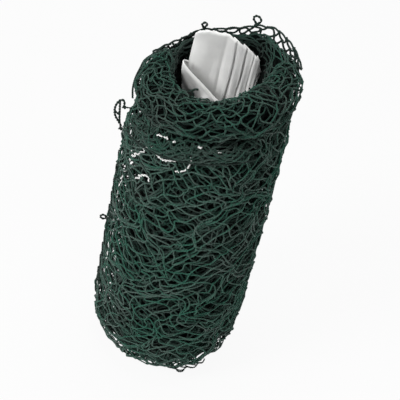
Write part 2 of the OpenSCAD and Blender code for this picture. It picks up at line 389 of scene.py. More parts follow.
class CuffForm(Form):
    """Skirt of turned-down net that hangs below the roll."""

    def __init__(self, sizes: BagSizes) -> None:
        """Keeps the sizes and the skirt's outer radius."""
        self.sizes = sizes
        self.r = reach_of(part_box("cuff_net"))

    def surface(self, theta: Array, v: Array) -> Array:
        """Points of the surface, from the skirt's edge up to the seam."""
        s = self.sizes
        left = 1 - ramp(np.degrees(theta) % 360, 212, 246)
        r = self.r - 0.8 * MM + 1.2 * MM * np.sin(v * math.pi) - 9 * MM * v**2 - 6 * MM * left
        x, y = r * np.cos(theta), r * np.sin(theta)
        z = s.seam_at(x, y) - s.cuff_drop * (1 - v) - 2 * MM * v
        return np.stack([x, y, z], axis=-1)


class LiningForm(Form):
    """Inner ply, from the seam down the hollow's wall and across its floor."""

    def __init__(self, sizes: BagSizes) -> None:
        """Lays out the profile."""
        self.sizes = sizes
        top = sizes.seam_z - 4 * MM
        r = np.array([0, 0, -3, -14, -40]) * MM + sizes.hollow_r + 1 * MM
        z = np.array([top, sizes.floor_z + 12 * MM, sizes.floor_z + 3 * MM, sizes.floor_z, sizes.floor_z])
        run = running(np.hypot(np.diff(r), np.diff(z)))
        self.r, self.z, self.v = r, z, run / run[-1]

    def surface(self, theta: Array, v: Array) -> Array:
        """Points of the surface."""
        r, z = np.interp(v, self.v, self.r), np.interp(v, self.v, self.z)
        return np.stack([r * np.cos(theta), r * np.sin(theta) + self.sizes.hollow_y, z], axis=-1)


def reach_of(corners: Sequence[Sequence[float]]) -> float:
    """Largest distance from the axis, along X or Y, that a node's box reaches."""
    return max(abs(corners[0][0]), abs(corners[0][1]))


# ---------------------------------------------------------------------------------------------
# Meshes
# ---------------------------------------------------------------------------------------------


class Ripple:
    """Smooth seeded waves over theta and v, which close up round the bag."""

    def __init__(
        self, rng: np.random.Generator, round_waves: int, long_waves: float, count: int = 9
    ) -> None:
        """Draws the waves.

        Args:
            rng: Seeded source of numbers.
            round_waves: Most waves round the bag.
            long_waves: Most waves along the profile.
            count: Number of waves that are added up.
        """
        self.m = rng.integers(1, round_waves + 1, count) * rng.choice([-1, 1], count)
        self.q = rng.uniform(0.3, 1.0, count) * long_waves * TURN
        self.phase = rng.uniform(0, TURN, count)
        self.share = rng.uniform(0.5, 1.0, count)
        self.share /= np.sqrt(np.sum(self.share**2) / 2)

    def __call__(self, theta: Array, v: Array) -> Array:
        """Values of about -1.5 to 1.5."""
        total = np.zeros(np.broadcast(theta, v).shape)
        for m, q, phase, share in zip(self.m, self.q, self.phase, self.share):
            total += share * np.sin(m * theta + q * v + phase)
        return total


def smooth_path(control: Array, steps: int) -> Array:
    """Curve through control points, by Catmull-Rom pieces.

    Args:
        control: Points, with the path along the last but one axis.
        steps: Number of pieces between two control points.

    Returns:
        The denser path.
    """
    first = 2 * control[..., :1, :] - control[..., 1:2, :]
    last = 2 * control[..., -1:, :] - control[..., -2:-1, :]
    full = np.concatenate([first, control, last], axis=-2)
    p0, p1, p2, p3 = full[..., :-3, :], full[..., 1:-2, :], full[..., 2:-1, :], full[..., 3:, :]
    t = (np.arange(steps) / steps)[:, None]
    shape = control.shape[:-2] + ((control.shape[-2] - 1) * steps, control.shape[-1])
    a = p0[..., None, :] * (-t + 2 * t**2 - t**3)
    b = p1[..., None, :] * (2 - 5 * t**2 + 3 * t**3)
    c = p2[..., None, :] * (t + 4 * t**2 - 3 * t**3)
    d = p3[..., None, :] * (-(t**2) + t**3)
    dense = ((a + b + c + d) / 2).reshape(shape)
    return np.concatenate([dense, control[..., -1:, :]], axis=-2)


class MeshStore:
    """Collects vertices and faces of many tubes and sheets, and makes one mesh of them."""

    def __init__(self) -> None:
        """Starts empty."""
        self.points: list[Array] = []
        self.corners: list[Array] = []
        self.counts: list[Array] = []
        self.uvs: list[Array] = []
        self.shades: list[Array] = []
        self.total = 0

    def add(self, points: Array, faces: Array, uvs: Array, shade: Array) -> None:
        """Adds faces that all have the same number of corners.

        Args:
            points: Vertices, (n, 3).
            faces: Indices of vertices, (faces, corners).
            uvs: One pair for each corner, (faces, corners, 2).
            shade: One value for each vertex, from 0 to 1.
        """
        self.points.append(points)
        self.more_faces(faces, uvs)
        self.shades.append(np.broadcast_to(shade, len(points)))
        self.total += len(points)

    def more_faces(self, faces: Array, uvs: Array) -> None:
        """Adds faces on the vertices that are about to be or were just added."""
        self.corners.append((faces + self.total).ravel())
        self.counts.append(np.full(len(faces), faces.shape[1]))
        self.uvs.append(uvs.reshape(-1, 2))

    def tubes(
        self, paths: Array, normals: Array, radius: Array, sides: int, pitch: float, shade: Array
    ) -> None:
        """Sweeps a closed tube along each path.

        Args:
            paths: Points, (strands, points, 3).
            normals: A direction across the path at each point.
            radius: Radius at each point, or one for all.
            sides: Sides of the tube.
            pitch: Length of one twist, which becomes one unit of v.
            shade: One value for each strand.
        """
        strands, count = paths.shape[:2]
        ahead = unit(np.gradient(paths, axis=1))
        across = unit(np.cross(ahead, normals))
        above = np.cross(across, ahead)
        turn = TURN * np.arange(sides) / sides
        wide = np.broadcast_to(radius, (strands, count))[..., None, None]
        spread = np.cos(turn)[:, None] * across[..., None, :] + np.sin(turn)[:, None] * above[..., None, :]
        rings = paths[..., None, :] + wide * spread
        index = np.arange(strands * count * sides).reshape(strands, count, sides)
        nearer, further = index[:, :-1], index[:, 1:]
        quads = np.stack(
            [nearer, np.roll(nearer, -1, 2), np.roll(further, -1, 2), further], axis=-1
        ).reshape(-1, 4)
        steps = np.linalg.norm(np.diff(paths, axis=1), axis=-1)
        along = np.concatenate([np.zeros((strands, 1)), np.cumsum(steps, axis=1)], axis=1) / pitch
        u = np.arange(sides + 1) / sides
        low, high = along[:, :-1, None], along[:, 1:, None]
        zero = np.zeros_like(low)
        corner = [(u[:-1] + zero, low), (u[1:] + zero, low), (u[1:] + zero, high), (u[:-1] + zero, high)]
        pairs = [np.stack(np.broadcast_arrays(a, b), axis=-1) for a, b in corner]
        uvs = np.stack(pairs, axis=-2).reshape(-1, 2)
        caps = np.concatenate([index[:, 0, ::-1], index[:, -1]])
        self.more_faces(caps, np.zeros((len(caps), sides, 2)))
        shades = np.repeat(np.broadcast_to(shade, strands), count * sides)
        self.add(rings.reshape(-1, 3), quads, uvs, shades)

    def sheet(self, front: Array, back: Array) -> None:
        """Adds a thick sheet between two grids of points, closed along its edges.

        Args:
            front: Points of one face, (across, along, 3).
            back: Points of the other face, in the same order.
        """
        across, along = front.shape[:2]
        index = np.arange(across * along).reshape(across, along)
        far = index + across * along
        here, ahead, far_here, far_ahead = index[:-1], index[1:], far[:-1], far[1:]

        def strip(a: Array, b: Array, c: Array, d: Array) -> Array:
            """Quads between matching rows of indices."""
            return np.stack([a, b, c, d], axis=-1).reshape(-1, 4)

        quads = [
            strip(here[:, :-1], ahead[:, :-1], ahead[:, 1:], here[:, 1:]),
            strip(far_here[:, 1:], far_ahead[:, 1:], far_ahead[:, :-1], far_here[:, :-1]),
            strip(here[:, 0], far_here[:, 0], far_ahead[:, 0], ahead[:, 0]),
            strip(here[:, -1], ahead[:, -1], far_ahead[:, -1], far_here[:, -1]),
            strip(index[0, :-1], index[0, 1:], far[0, 1:], far[0, :-1]),
            strip(index[-1, 1:], index[-1, :-1], far[-1, :-1], far[-1, 1:]),
        ]
        faces = np.concatenate(quads)
        u = np.repeat(np.linspace(0, 1, across), along)
        v = np.tile(np.linspace(0, 1, along), across)
        flat = np.tile(np.stack([u, v], axis=-1), (2, 1))
        points = np.concatenate([front.reshape(-1, 3), back.reshape(-1, 3)])
        self.add(points, faces, flat[faces], np.full(len(points), 0.5))

    def shell(self, profile: Array, ring: bool) -> None:
        """Adds a closed shell from one profile for each direction round the bag.

        Args:
            profile: Points, (round, along, 3).
            ring: True if each profile closes on itself, False if the shell's two ends are capped.
        """
        around, along = profile.shape[:2]
        index = np.arange(around * along).reshape(around, along)
        u = np.repeat(np.arange(around) * 3.0, along)
        v = np.tile(np.arange(along) * 0.7, around)
        flat = np.stack([u, v], axis=-1)
        ahead = np.roll(index, -1, 0)
        corners = [index, ahead, np.roll(ahead, -1, 1), np.roll(index, -1, 1)]
        if not ring:
            caps = np.stack([index[::-1, 0], index[:, -1]])
            self.more_faces(caps, flat[caps])
            corners = [corner[:, :-1] for corner in corners]
        quads = np.stack(corners, axis=-1).reshape(-1, 4)
        self.add(profile.reshape(-1, 3), quads, flat[quads], np.full(around * along, 0.5))

    def build(self, name: str, material: bpy.types.Material, body: str) -> bpy.types.Object:
        """Makes the object.

        Args:
            name: The piece's name.
            material: Its material.
            body: The body that it rides on.

        Returns:
            The new object.
        """
        points = np.concatenate(self.points)
        corners = np.concatenate(self.corners)
        counts = np.concatenate(self.counts)
        mesh = bpy.data.meshes.new(name)
        mesh.vertices.add(len(points))
        mesh.vertices.foreach_set("co", points.ravel())
        mesh.loops.add(len(corners))
        mesh.loops.foreach_set("vertex_index", corners)
        mesh.polygons.add(len(counts))
        mesh.polygons.foreach_set("loop_start", np.cumsum(counts) - counts)
        mesh.polygons.foreach_set("use_smooth", np.ones(len(counts), bool))
        mesh.update(calc_edges=True)
        layer = mesh.uv_layers.new(name="lay")
        layer.data.foreach_set("uv", np.concatenate(self.uvs).ravel())
        shade = mesh.attributes.new("shade", "FLOAT", "POINT")
        shade.data.foreach_set("value", np.concatenate(self.shades).astype(np.float32))
        mesh.validate()
        mesh.materials.append(material)
        piece = bpy.data.objects.new(name, mesh)
        bpy.context.scene.collection.objects.link(piece)
        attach(piece, body)
        LOG.info("%s: %d faces on %s", name, len(counts), body)
        return piece


def carried_normals(path: Array, start: Array) -> Array:
    """Directions across a free path that turn as little as they can.

    Args:
        path: Points, (n, 3).
        start: A direction across the path at its first point.

    Returns:
        One direction for each point.
    """
    ahead = unit(np.gradient(path, axis=0))
    found = []
    across = np.asarray(start, float)
    for way in ahead:
        across = across - way * np.dot(across, way)
        across = across / np.linalg.norm(across)
        found.append(across)
    return np.array(found)


def twisted(path: Array, normals: Array, strands: int, offset: float, pitch: float) -> tuple[Array, Array]:
    """Strands that wind round a path.

    Args:
        path: Points, (n, 3).
        normals: A direction across the path at each point.
        strands: Number of strands.
        offset: Distance of each strand from the path.
        pitch: Length of one full turn.

    Returns:
        The strands' points and a direction across each of them.
    """
    ahead = unit(np.gradient(path, axis=0))
    across = np.cross(ahead, normals)
    run = running(np.linalg.norm(np.diff(path, axis=0), axis=1))
    start = TURN * np.arange(strands)[:, None] / strands
    turn = start + TURN * run / pitch
    out = np.cos(turn)[..., None] * normals + np.sin(turn)[..., None] * across
    return path + offset * out, out


# ---------------------------------------------------------------------------------------------
# Net
# ---------------------------------------------------------------------------------------------


@dataclass(frozen=True)
class Ply:
    """One ply of knotted net.

    Attributes:
        columns: Meshes round the full turn, or across the ply's own span.
        rows: Half meshes along the profile.
        depth: Mean depth below the form.
        ruffle: How far the ply moves in and out.
        slack: How far a bar bows to one side, in metres.
        drift: How far patches of meshes wander, in metres.
        curl: How far small patches wander, which bunches the strands.
        seed: Seed of all its numbers.
        span: Directions between which the ply lies, in degrees.
        v_span: Shares of the profile between which it lies.
        sides: Sides of each strand.
        steps: Pieces in half a bar.
        thick: Strand radius as a share of the twine's.
        slump: Extra depth where the bottom rounds, which leaves the ply outside it slack.
    """

    columns: int
    rows: int
    depth: float
    ruffle: float
    slack: float
    drift: float
    seed: int
    span: tuple[float, float] = (0.0, 360.0)
    v_span: tuple[float, float] = (0.0, 1.0)
    sides: int = 6
    steps: int = 3
    thick: float = 1.0
    slump: float = 0.0
    curl: float = 3.0 * MM

    def strands(self, form: Form, girth: float, length: float) -> tuple[Array, Array, Array]:
        """Works out every strand of the ply.

        Args:
            form: The surface that it follows.
            girth: Radius by which lengths round the bag become angles.
            length: Length of the form's profile.

        Returns:
            Points, normals and a radius share for each point, by strand.
        """
        rng = np.random.default_rng(self.seed)
        half = 2 * self.columns
        whole = self.span[1] - self.span[0] >= 360
        start, turn = math.radians(self.span[0]), math.radians(self.span[1] - self.span[0])
        rows = np.arange(self.rows + 1)
        jitter = rng.normal(0, 0.13, (half + 1, self.rows + 1, 2))
        lay = rng.normal(0, 0.35, (half + 1, self.rows + 1))
        jitter[half], lay[half] = jitter[0], lay[0]
        control = []
        for way in (1, -1):
            column = 2 * np.arange(self.columns)[:, None] + way * rows
            if whole:
                slot = column % half
            else:
                folded = column % (2 * half)
                column = np.where(folded > half, 2 * half - folded, folded)
                slot = column
            theta = start + turn * (column + jitter[slot, rows, 0]) / half
            v = (rows + jitter[slot, rows, 1]) / self.rows
            depth = self.depth + (lay[slot, rows] * 0.6 + 0.55 * way * np.cos(math.pi * rows)) * MM
            knots = np.stack([theta, v, depth], axis=-1)
            middle = (knots[:, :-1] + knots[:, 1:]) / 2
            bow = rng.normal(0, 1, middle.shape)
            middle[..., 0] += self.slack * bow[..., 0] / girth
            middle[..., 1] += self.slack * (0.9 * bow[..., 1] - 0.5) / length
            middle[..., 2] += 0.5 * MM * bow[..., 2] + 0.3 * MM
            full = np.empty((len(knots), 2 * self.rows + 1, 3))
            full[:, 0::2], full[:, 1::2] = knots, middle
            control.append(full)
        path = smooth_path(np.concatenate(control), self.steps)
        theta, v, depth = path[..., 0], path[..., 1], path[..., 2]
        wander = [Ripple(rng, 8, length / (85 * MM)) for _ in range(2)]
        ruffle = Ripple(rng, 16, length / (35 * MM))
        edge = ramp(v, 0.0, 0.05) * (1 - ramp(v, 0.95, 1.0))
        at = self.v_span[0] + np.clip(v, 0, 1) * (self.v_span[1] - self.v_span[0])
        tight = [Ripple(rng, round(TURN * girth / (40 * MM)), length / (40 * MM)) for _ in range(2)]
        away = self.drift * wander[0](theta, at) + self.curl * tight[0](theta, at)
        along = self.drift * wander[1](theta, at) + self.curl * tight[1](theta, at)
        theta = theta + away / girth * edge
        at = np.clip(at + along / length * edge, *self.v_span)
        depth = depth + self.ruffle * ruffle(theta, at) + self.slump * bottom_slump(at)
        points, normals = form.place(theta, at, depth)
        knot = np.abs((np.arange(path.shape[1]) / (2 * self.steps) + 0.5) % 1 - 0.5) * 2 * self.steps
        swell = 1 + 0.45 * np.exp(-((knot / 0.7) ** 2))
        return points, normals, np.broadcast_to(swell, points.shape[:2]) * self.thick


def lay_plies(
    name: str,
    plies: Sequence[Ply],
    form: Form,
    girth: float,
    length: float,
    sizes: BagSizes,
    material: bpy.types.Material,
) -> bpy.types.Object:
    """Makes one piece of one or more plies.

    Args:
        name: The piece's name.
        plies: The plies in it.
        form: The surface that they follow.
        girth: Radius by which lengths round the bag become angles.
        length: Length of the form's profile.
        sizes: The bag's sizes.
        material: The twine's material.

    Returns:
        The new object.
    """
    store = MeshStore()
    for ply in plies:
        points, normals, swell = ply.strands(form, girth, length)
        points[..., 2] = np.maximum(points[..., 2], sizes.twine_r * 1.5)
        shade = np.random.default_rng(ply.seed + 1).uniform(0, 1, len(points))
        store.tubes(points, normals, sizes.twine_r * swell, ply.sides, TWIST, shade)
    return store.build(name, material, "bag")


# ---------------------------------------------------------------------------------------------
# Materials
# ---------------------------------------------------------------------------------------------


class Wire:
    """One output socket, on which Python's operators add Math nodes."""

    def __init__(self, graph: "Graph", socket: bpy.types.NodeSocket) -> None:
        """Keeps the graph and the socket."""
        self.graph = graph
        self.socket = socket

    def maths(self, operation: str, *values: Any) -> "Wire":
        """One Math node."""
        inputs = dict(enumerate(values))
        return self.graph.node("ShaderNodeMath", {"operation": operation}, inputs)

    def __add__(self, other: Any) -> "Wire":
        """self + other."""
        return self.maths("ADD", self, other)

    def __radd__(self, other: Any) -> "Wire":
        """other + self."""
        return self.maths("ADD", other, self)

    def __sub__(self, other: Any) -> "Wire":
        """self - other."""
        return self.maths("SUBTRACT", self, other)

    def __rsub__(self, other: Any) -> "Wire":
        """other - self."""
        return self.maths("SUBTRACT", other, self)

    def __mul__(self, other: Any) -> "Wire":
        """self * other."""
        return self.maths("MULTIPLY", self, other)

    def __rmul__(self, other: Any) -> "Wire":
        """other * self."""
        return self.maths("MULTIPLY", other, self)

    def __pow__(self, other: Any) -> "Wire":
        """self ** other."""
        return self.maths("POWER", self, other)

    def cosine(self) -> "Wire":
        """Cosine of the value."""
        return self.maths("COSINE", self)

    def clamped(self) -> "Wire":
        """The value held between 0 and 1."""
        return self.graph.node("ShaderNodeClamp", {}, {"Value": self})


class Graph:
    """Node tree of one material or world."""

    def __init__(self, owner: Union[bpy.types.Material, bpy.types.World]) -> None:
        """Empties the owner's tree."""
        owner.use_nodes = True
        self.owner = owner
        self.tree = owner.node_tree
        self.tree.nodes.clear()

    @classmethod
    def of_material(cls, name: str) -> "Graph":
        """The empty tree of a new material."""
        return cls(bpy.data.materials.new(name))

    def node(
        self,
        kind: str,
        settings: Mapping[str, Any],
        inputs: Mapping[Union[int, str], Any],
        output: Union[int, str] = 0,
    ) -> Wire:
        """Adds any node.

        Args:
            kind: The node's type.
            settings: Its own settings, set first; stops are (place, colour) pairs of a ramp.
            inputs: Values or wires of its sockets, by name or number.
            output: The socket to hand back, by name or number.

        Returns:
            The output as a wire.
        """
        node = self.tree.nodes.new(kind)
        for key, value in settings.items():
            if key == "stops":
                self.set_stops(node.color_ramp.elements, value)
            else:
                setattr(node, key, value)
        for key, value in inputs.items():
            socket = node.inputs[key]
            if isinstance(value, Wire):
                self.tree.links.new(value.socket, socket)
            else:
                socket.default_value = value
        return Wire(self, node.outputs[output] if len(node.outputs) else None)

    @staticmethod
    def set_stops(elements: Any, stops: Sequence[tuple[float, Sequence[float]]]) -> None:
        """Sets a colour ramp's stops."""
        while len(elements) < len(stops):
            elements.new(0.5)
        for element, (place, colour) in zip(elements, stops):
            element.position = place
            element.color = (*colour, 1.0)

    def mix(self, share: Any, first: Any, second: Any) -> Wire:
        """Mixes two colours, each given as three numbers or a wire."""
        given = {0: share, 6: colour_of(first), 7: colour_of(second)}
        return self.node("ShaderNodeMix", {"data_type": "RGBA"}, given, output=2)

    def noise(self, vector: Any, scale: float, detail: float = 2.0, rough: float = 0.5) -> Wire:
        """Noise in three dimensions, from 0 to 1."""
        given = {"Vector": vector, "Scale": scale, "Detail": detail, "Roughness": rough}
        return self.node("ShaderNodeTexNoise", {}, given, output="Fac")

    def finish(self, **sockets: Any) -> bpy.types.Material:
        """Adds the shader and the output.

        Args:
            sockets: Inputs of the shader, with _ for a space in a name.

        Returns:
            The finished material.
        """
        given = {key.replace("_", " "): value for key, value in sockets.items()}
        shader = self.node("ShaderNodeBsdfPrincipled", {}, given)
        self.node("ShaderNodeOutputMaterial", {}, {"Surface": shader})
        return self.owner


def colour_of(value: Any) -> Any:
    """A colour with alpha, or the wire as it is."""
    return value if isinstance(value, Wire) else (*value, 1.0)


def tone(red: float, green: float, blue: float) -> tuple[float, float, float]:
    """Linear colour from the usual 0 to 255 screen values."""

    def linear(value: float) -> float:
        """One channel."""
        share = value / 255
        return share / 12.92 if share <= 0.04045 else ((share + 0.055) / 1.055) ** 2.4

    return linear(red), linear(green), linear(blue)


@dataclass(frozen=True)
class TwineFinish:
    """Matt two-ply twine: twist, loose fibres and uneven dye, with shade painted into the twist's groove and
    inside the mouth.

    Attributes:
        name: The material's name.
        green: Colour of twine with its full dye.
        faded: Colour of worn, greyer twine.
        groove: Dark colour painted as shade in the groove between the two strands and inside the mouth; the
            fibres' mottle also goes towards it.
        plies: Strands that are twisted together.
        roughness: Mean roughness.
        shine: Specular level.
        mouth_painted_shade: How far the twine's colour goes to the groove colour inside the mouth, as
            painted shade.
        mouth_y: Distance of the mouth's middle behind the bag's axis.
        mouth_r: Radius inside which the twine has its full painted shade.
        mouth_fade: Distance outside that radius over which the painted shade ends.
    """

    name: str
    green: tuple[float, float, float]
    faded: tuple[float, float, float]
    groove: tuple[float, float, float]
    plies: int = 2
    roughness: float = 0.82
    shine: float = 0.25
    mouth_painted_shade: float = 0.8
    mouth_y: float = 28 * MM
    mouth_r: float = 44 * MM
    mouth_fade: float = 12 * MM

    def material(self) -> bpy.types.Material:
        """Builds the material."""
        graph = Graph.of_material(self.name)
        lay = graph.node("ShaderNodeUVMap", {"uv_map": "lay"}, {})
        split = graph.node("ShaderNodeSeparateXYZ", {}, {0: lay})
        length = Wire(graph, split.socket.node.outputs[1])
        place = graph.node("ShaderNodeTexCoord", {}, {}, output="Object")
        shade = graph.node("ShaderNodeAttribute", {"attribute_name": "shade"}, {}, output="Fac")
        twist = ((split * self.plies - length) * TURN).cosine() * 0.5 + 0.5
        fibre = graph.noise(place, 2400.0, 3.0, 0.6)
        patches = graph.noise(place, 26.0, 2.0)
        wear = (patches * 1.7 - 0.6 + shade * 0.55 - 0.18).clamped()
        spot = graph.node("ShaderNodeSeparateXYZ", {}, {0: place})
        behind = Wire(graph, spot.socket.node.outputs[1]) - self.mouth_y
        from_axis = (spot * spot + behind * behind) ** 0.5
        # Painted shade inside the mouth: near its middle, the dyed and worn colour goes towards the dark
        # groove colour.
        inside = (1 - (from_axis - self.mouth_r) * (1 / self.mouth_fade)).clamped() * self.mouth_painted_shade
        dye_and_mouth_shade = graph.mix(inside, graph.mix(wear, self.green, self.faded), self.groove)
        # Painted shade: the twist's groove goes towards the dark groove colour.
        deep = (1 - twist) ** 2.0 * 0.55
        mottled = graph.mix((fibre * 0.5 - 0.1).clamped(), dye_and_mouth_shade, self.groove)
        colour = graph.mix(deep, mottled, self.groove)
        height = twist * 0.8 + fibre * 0.35
        bump = graph.node("ShaderNodeBump", {}, {"Strength": 0.5, "Distance": 0.35 * MM, "Height": height})
        rough = fibre * 0.16 + (self.roughness - 0.08)
        return graph.finish(
            Base_Color=colour,
            Roughness=rough,
            Normal=bump,
            Specular_IOR_Level=self.shine,
            Sheen_Weight=self.shine * 0.3,
            Sheen_Roughness=0.5,
        )


@dataclass(frozen=True)
class CottonFinish:
    """Plain woven cotton with a soft hand, faint creases and soft patches of grey."""

    name: str = "liner_cotton"
    white: tuple[float, float, float] = tone(234, 234, 232)
    grey: tuple[float, float, float] = tone(206, 207, 206)
    thread: float = 0.55 * MM

    def material(self) -> bpy.types.Material:
        """Builds the material."""
        graph = Graph.of_material(self.name)
        place = graph.node("ShaderNodeTexCoord", {}, {}, output="Object")
        split = graph.node("ShaderNodeSeparateXYZ", {}, {0: place})
        upright = Wire(graph, split.socket.node.outputs[2])
        warp = (split * (TURN / self.thread)).cosine()
        weft = (upright * (TURN / self.thread)).cosine()
        weave = warp * weft * 0.5 + 0.5
        soft = graph.noise(place, 38.0, 3.0)
        crease = graph.noise(place, 120.0, 4.0, 0.6)
        colour = graph.mix((soft * 1.5 - 0.45).clamped(), self.white, self.grey)
        height = weave * 0.25 + crease * 0.9 + soft * 2.0
        bump = graph.node("ShaderNodeBump", {}, {"Strength": 0.35, "Distance": 0.5 * MM, "Height": height})
        return graph.finish(
            Base_Color=colour,
            Roughness=crease * 0.1 + 0.82,
            Normal=bump,
            Specular_IOR_Level=0.25,
            Sheen_Weight=0.15,
            Sheen_Roughness=0.6,
        )


class Palette:
    """The bag's finishes, each made once; beside the lit twine, darker copies of it paint shade on deeper
    plies and packing.
    """

    def __init__(self) -> None:
        """Makes the materials."""
        green, faded, groove = tone(36, 94, 76), tone(88, 101, 96), tone(3, 15, 11)
        self.net = TwineFinish("net_twine", green, faded, groove).material()
        # Painted shade: a darker copy of the twine for plies that lie deeper.
        deep, dull = tone(17, 50, 40), tone(36, 45, 42)
        self.shaded = TwineFinish("shaded_twine", deep, dull, tone(2, 9, 6), shine=0.15).material()
        # Painted shade: a near-black copy of the twine for the packing and the plies deepest in shade.
        dark, shade_black_faded = tone(3, 13, 10), tone(8, 13, 11)
        self.packed = TwineFinish("packed_twine", dark, shade_black_faded, tone(1, 4, 3), shine=0.05).material()
        self.cord = TwineFinish("cord", tone(16, 44, 35), tone(32, 42, 38), tone(2, 8, 6)).material()
        # Painted shade: a somewhat darker copy of the twine for plies one layer down.
        self.second = TwineFinish("half_shade_twine", tone(26, 72, 58), tone(58, 70, 65), groove).material()
        self.cotton = CottonFinish().material()


# ---------------------------------------------------------------------------------------------
# Sub-assemblies
# ---------------------------------------------------------------------------------------------


@dataclass
class NetBody:
    """Bottom and wall of the bag: the outer plies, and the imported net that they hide.

    Attributes:
        mesh_w: Width of a mesh round the bag.
        mesh_h: Height of a mesh.
        dense: Directions between which the bag has its deeper plies, in degrees.
        slump: Extra depth of the deeper plies and the packing where the bottom rounds.
        core_low: Lowest height of the packing's outside.
    """

    sizes: BagSizes
    palette: Palette
    mesh_w: float = 17 * MM
    mesh_h: float = 13.6 * MM
    dense: tuple[float, float] = (212.0, 508.0)
    slump: float = 4.6 * MM
    core_low: float = 11 * MM

    def plies(self, length: float) -> dict[str, Ply]:
        """The ply of each piece, from the outermost inwards, for a profile of this length."""
        across = round(TURN * self.sizes.wall_r / self.mesh_w)
        rows = round(2 * length / self.mesh_h)
        share = (self.dense[1] - self.dense[0]) / 360
        deep = {"span": self.dense, "sides": 5, "steps": 2, "slump": self.slump}
        return {
            "net_outer_ply": Ply(
                across, rows, depth=0.9 * MM, ruffle=0.9 * MM, slack=1.8 * MM, drift=6 * MM, seed=11,
                thick=0.88,
            ),
            "net_second_ply": Ply(
                across - 2, rows + 3, depth=3.1 * MM, ruffle=1.3 * MM, slack=2.2 * MM, drift=6.5 * MM,
                seed=23, steps=2, slump=3.6 * MM, thick=0.88,
            ),
            "net_third_ply": Ply(
                round((across + 2) * share), rows + 5, depth=5.4 * MM, ruffle=1.4 * MM, slack=2.2 * MM,
                drift=6.5 * MM, seed=37, **deep,
            ),
            "net_fourth_ply": Ply(
                round(across * share), rows, depth=8.4 * MM, ruffle=1.6 * MM, slack=2.4 * MM,
                drift=7 * MM, seed=53, **deep,
            ),
        }  # fmt: skip

    def build(self) -> None:
        """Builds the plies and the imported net."""
        form = BodyForm(self.sizes)
        for name, ply in self.plies(form.length).items():
            # Painted shade: the plies under the outermost take darker copies of the twine, the second a
            # little darker and the deeper ones darker still.
            near = name in ("net_outer_ply", "net_second_ply")
            below = self.palette.second if near else self.palette.shaded
            finish = self.palette.net if name == "net_outer_ply" else below
            piece = lay_plies(name, [ply], form, self.sizes.wall_r, form.length, self.sizes, finish)
            if name == "net_outer_ply":
                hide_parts("outer_net_wall", "base_net")
        self.build_packing(form)

    def build_packing(self, form: BodyForm) -> None:
        """Lumpy net packed between the plies and the hollow, as one closed shell, in near-black twine that
        stands for its shade.
        """
        sizes = self.sizes
        rng = np.random.default_rng(71)
        theta = all_round(180)
        v = np.linspace(0.0, 1.0, 150)[None, :]
        left = facing(theta, math.radians(190), 0.55)
        lump = Ripple(rng, 40, form.length / (12 * MM), 24)
        depth = 12.5 * MM + 1.2 * MM * lump(theta, v)
        depth = depth + 12 * MM * left * ramp(v, 0.12, 0.3) * (1 - ramp(v, 0.74, 0.84))
        outer, _ = form.place(theta, v, depth + self.slump * bottom_slump(v))
        outer[..., 2] = np.maximum(outer[..., 2], self.core_low)
        lining = LiningForm(sizes)
        inner_v = np.linspace(0, 1, 80)[None, :]
        bump = Ripple(rng, 30, 20, 16)
        inner, _ = lining.place(theta, inner_v, 3.4 * MM + 0.5 * MM * bump(theta, inner_v))
        inner[..., 2] = np.maximum(inner[..., 2], sizes.floor_z - 5 * MM)
        store = MeshStore()
        store.shell(np.concatenate([outer, inner], axis=1), ring=False)
        # Painted shade: the packing takes the near-black copy of the twine.
        piece = store.build("packed_net_core", self.palette.packed, "bag")
        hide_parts("packed_net", "packed_net_bottom")


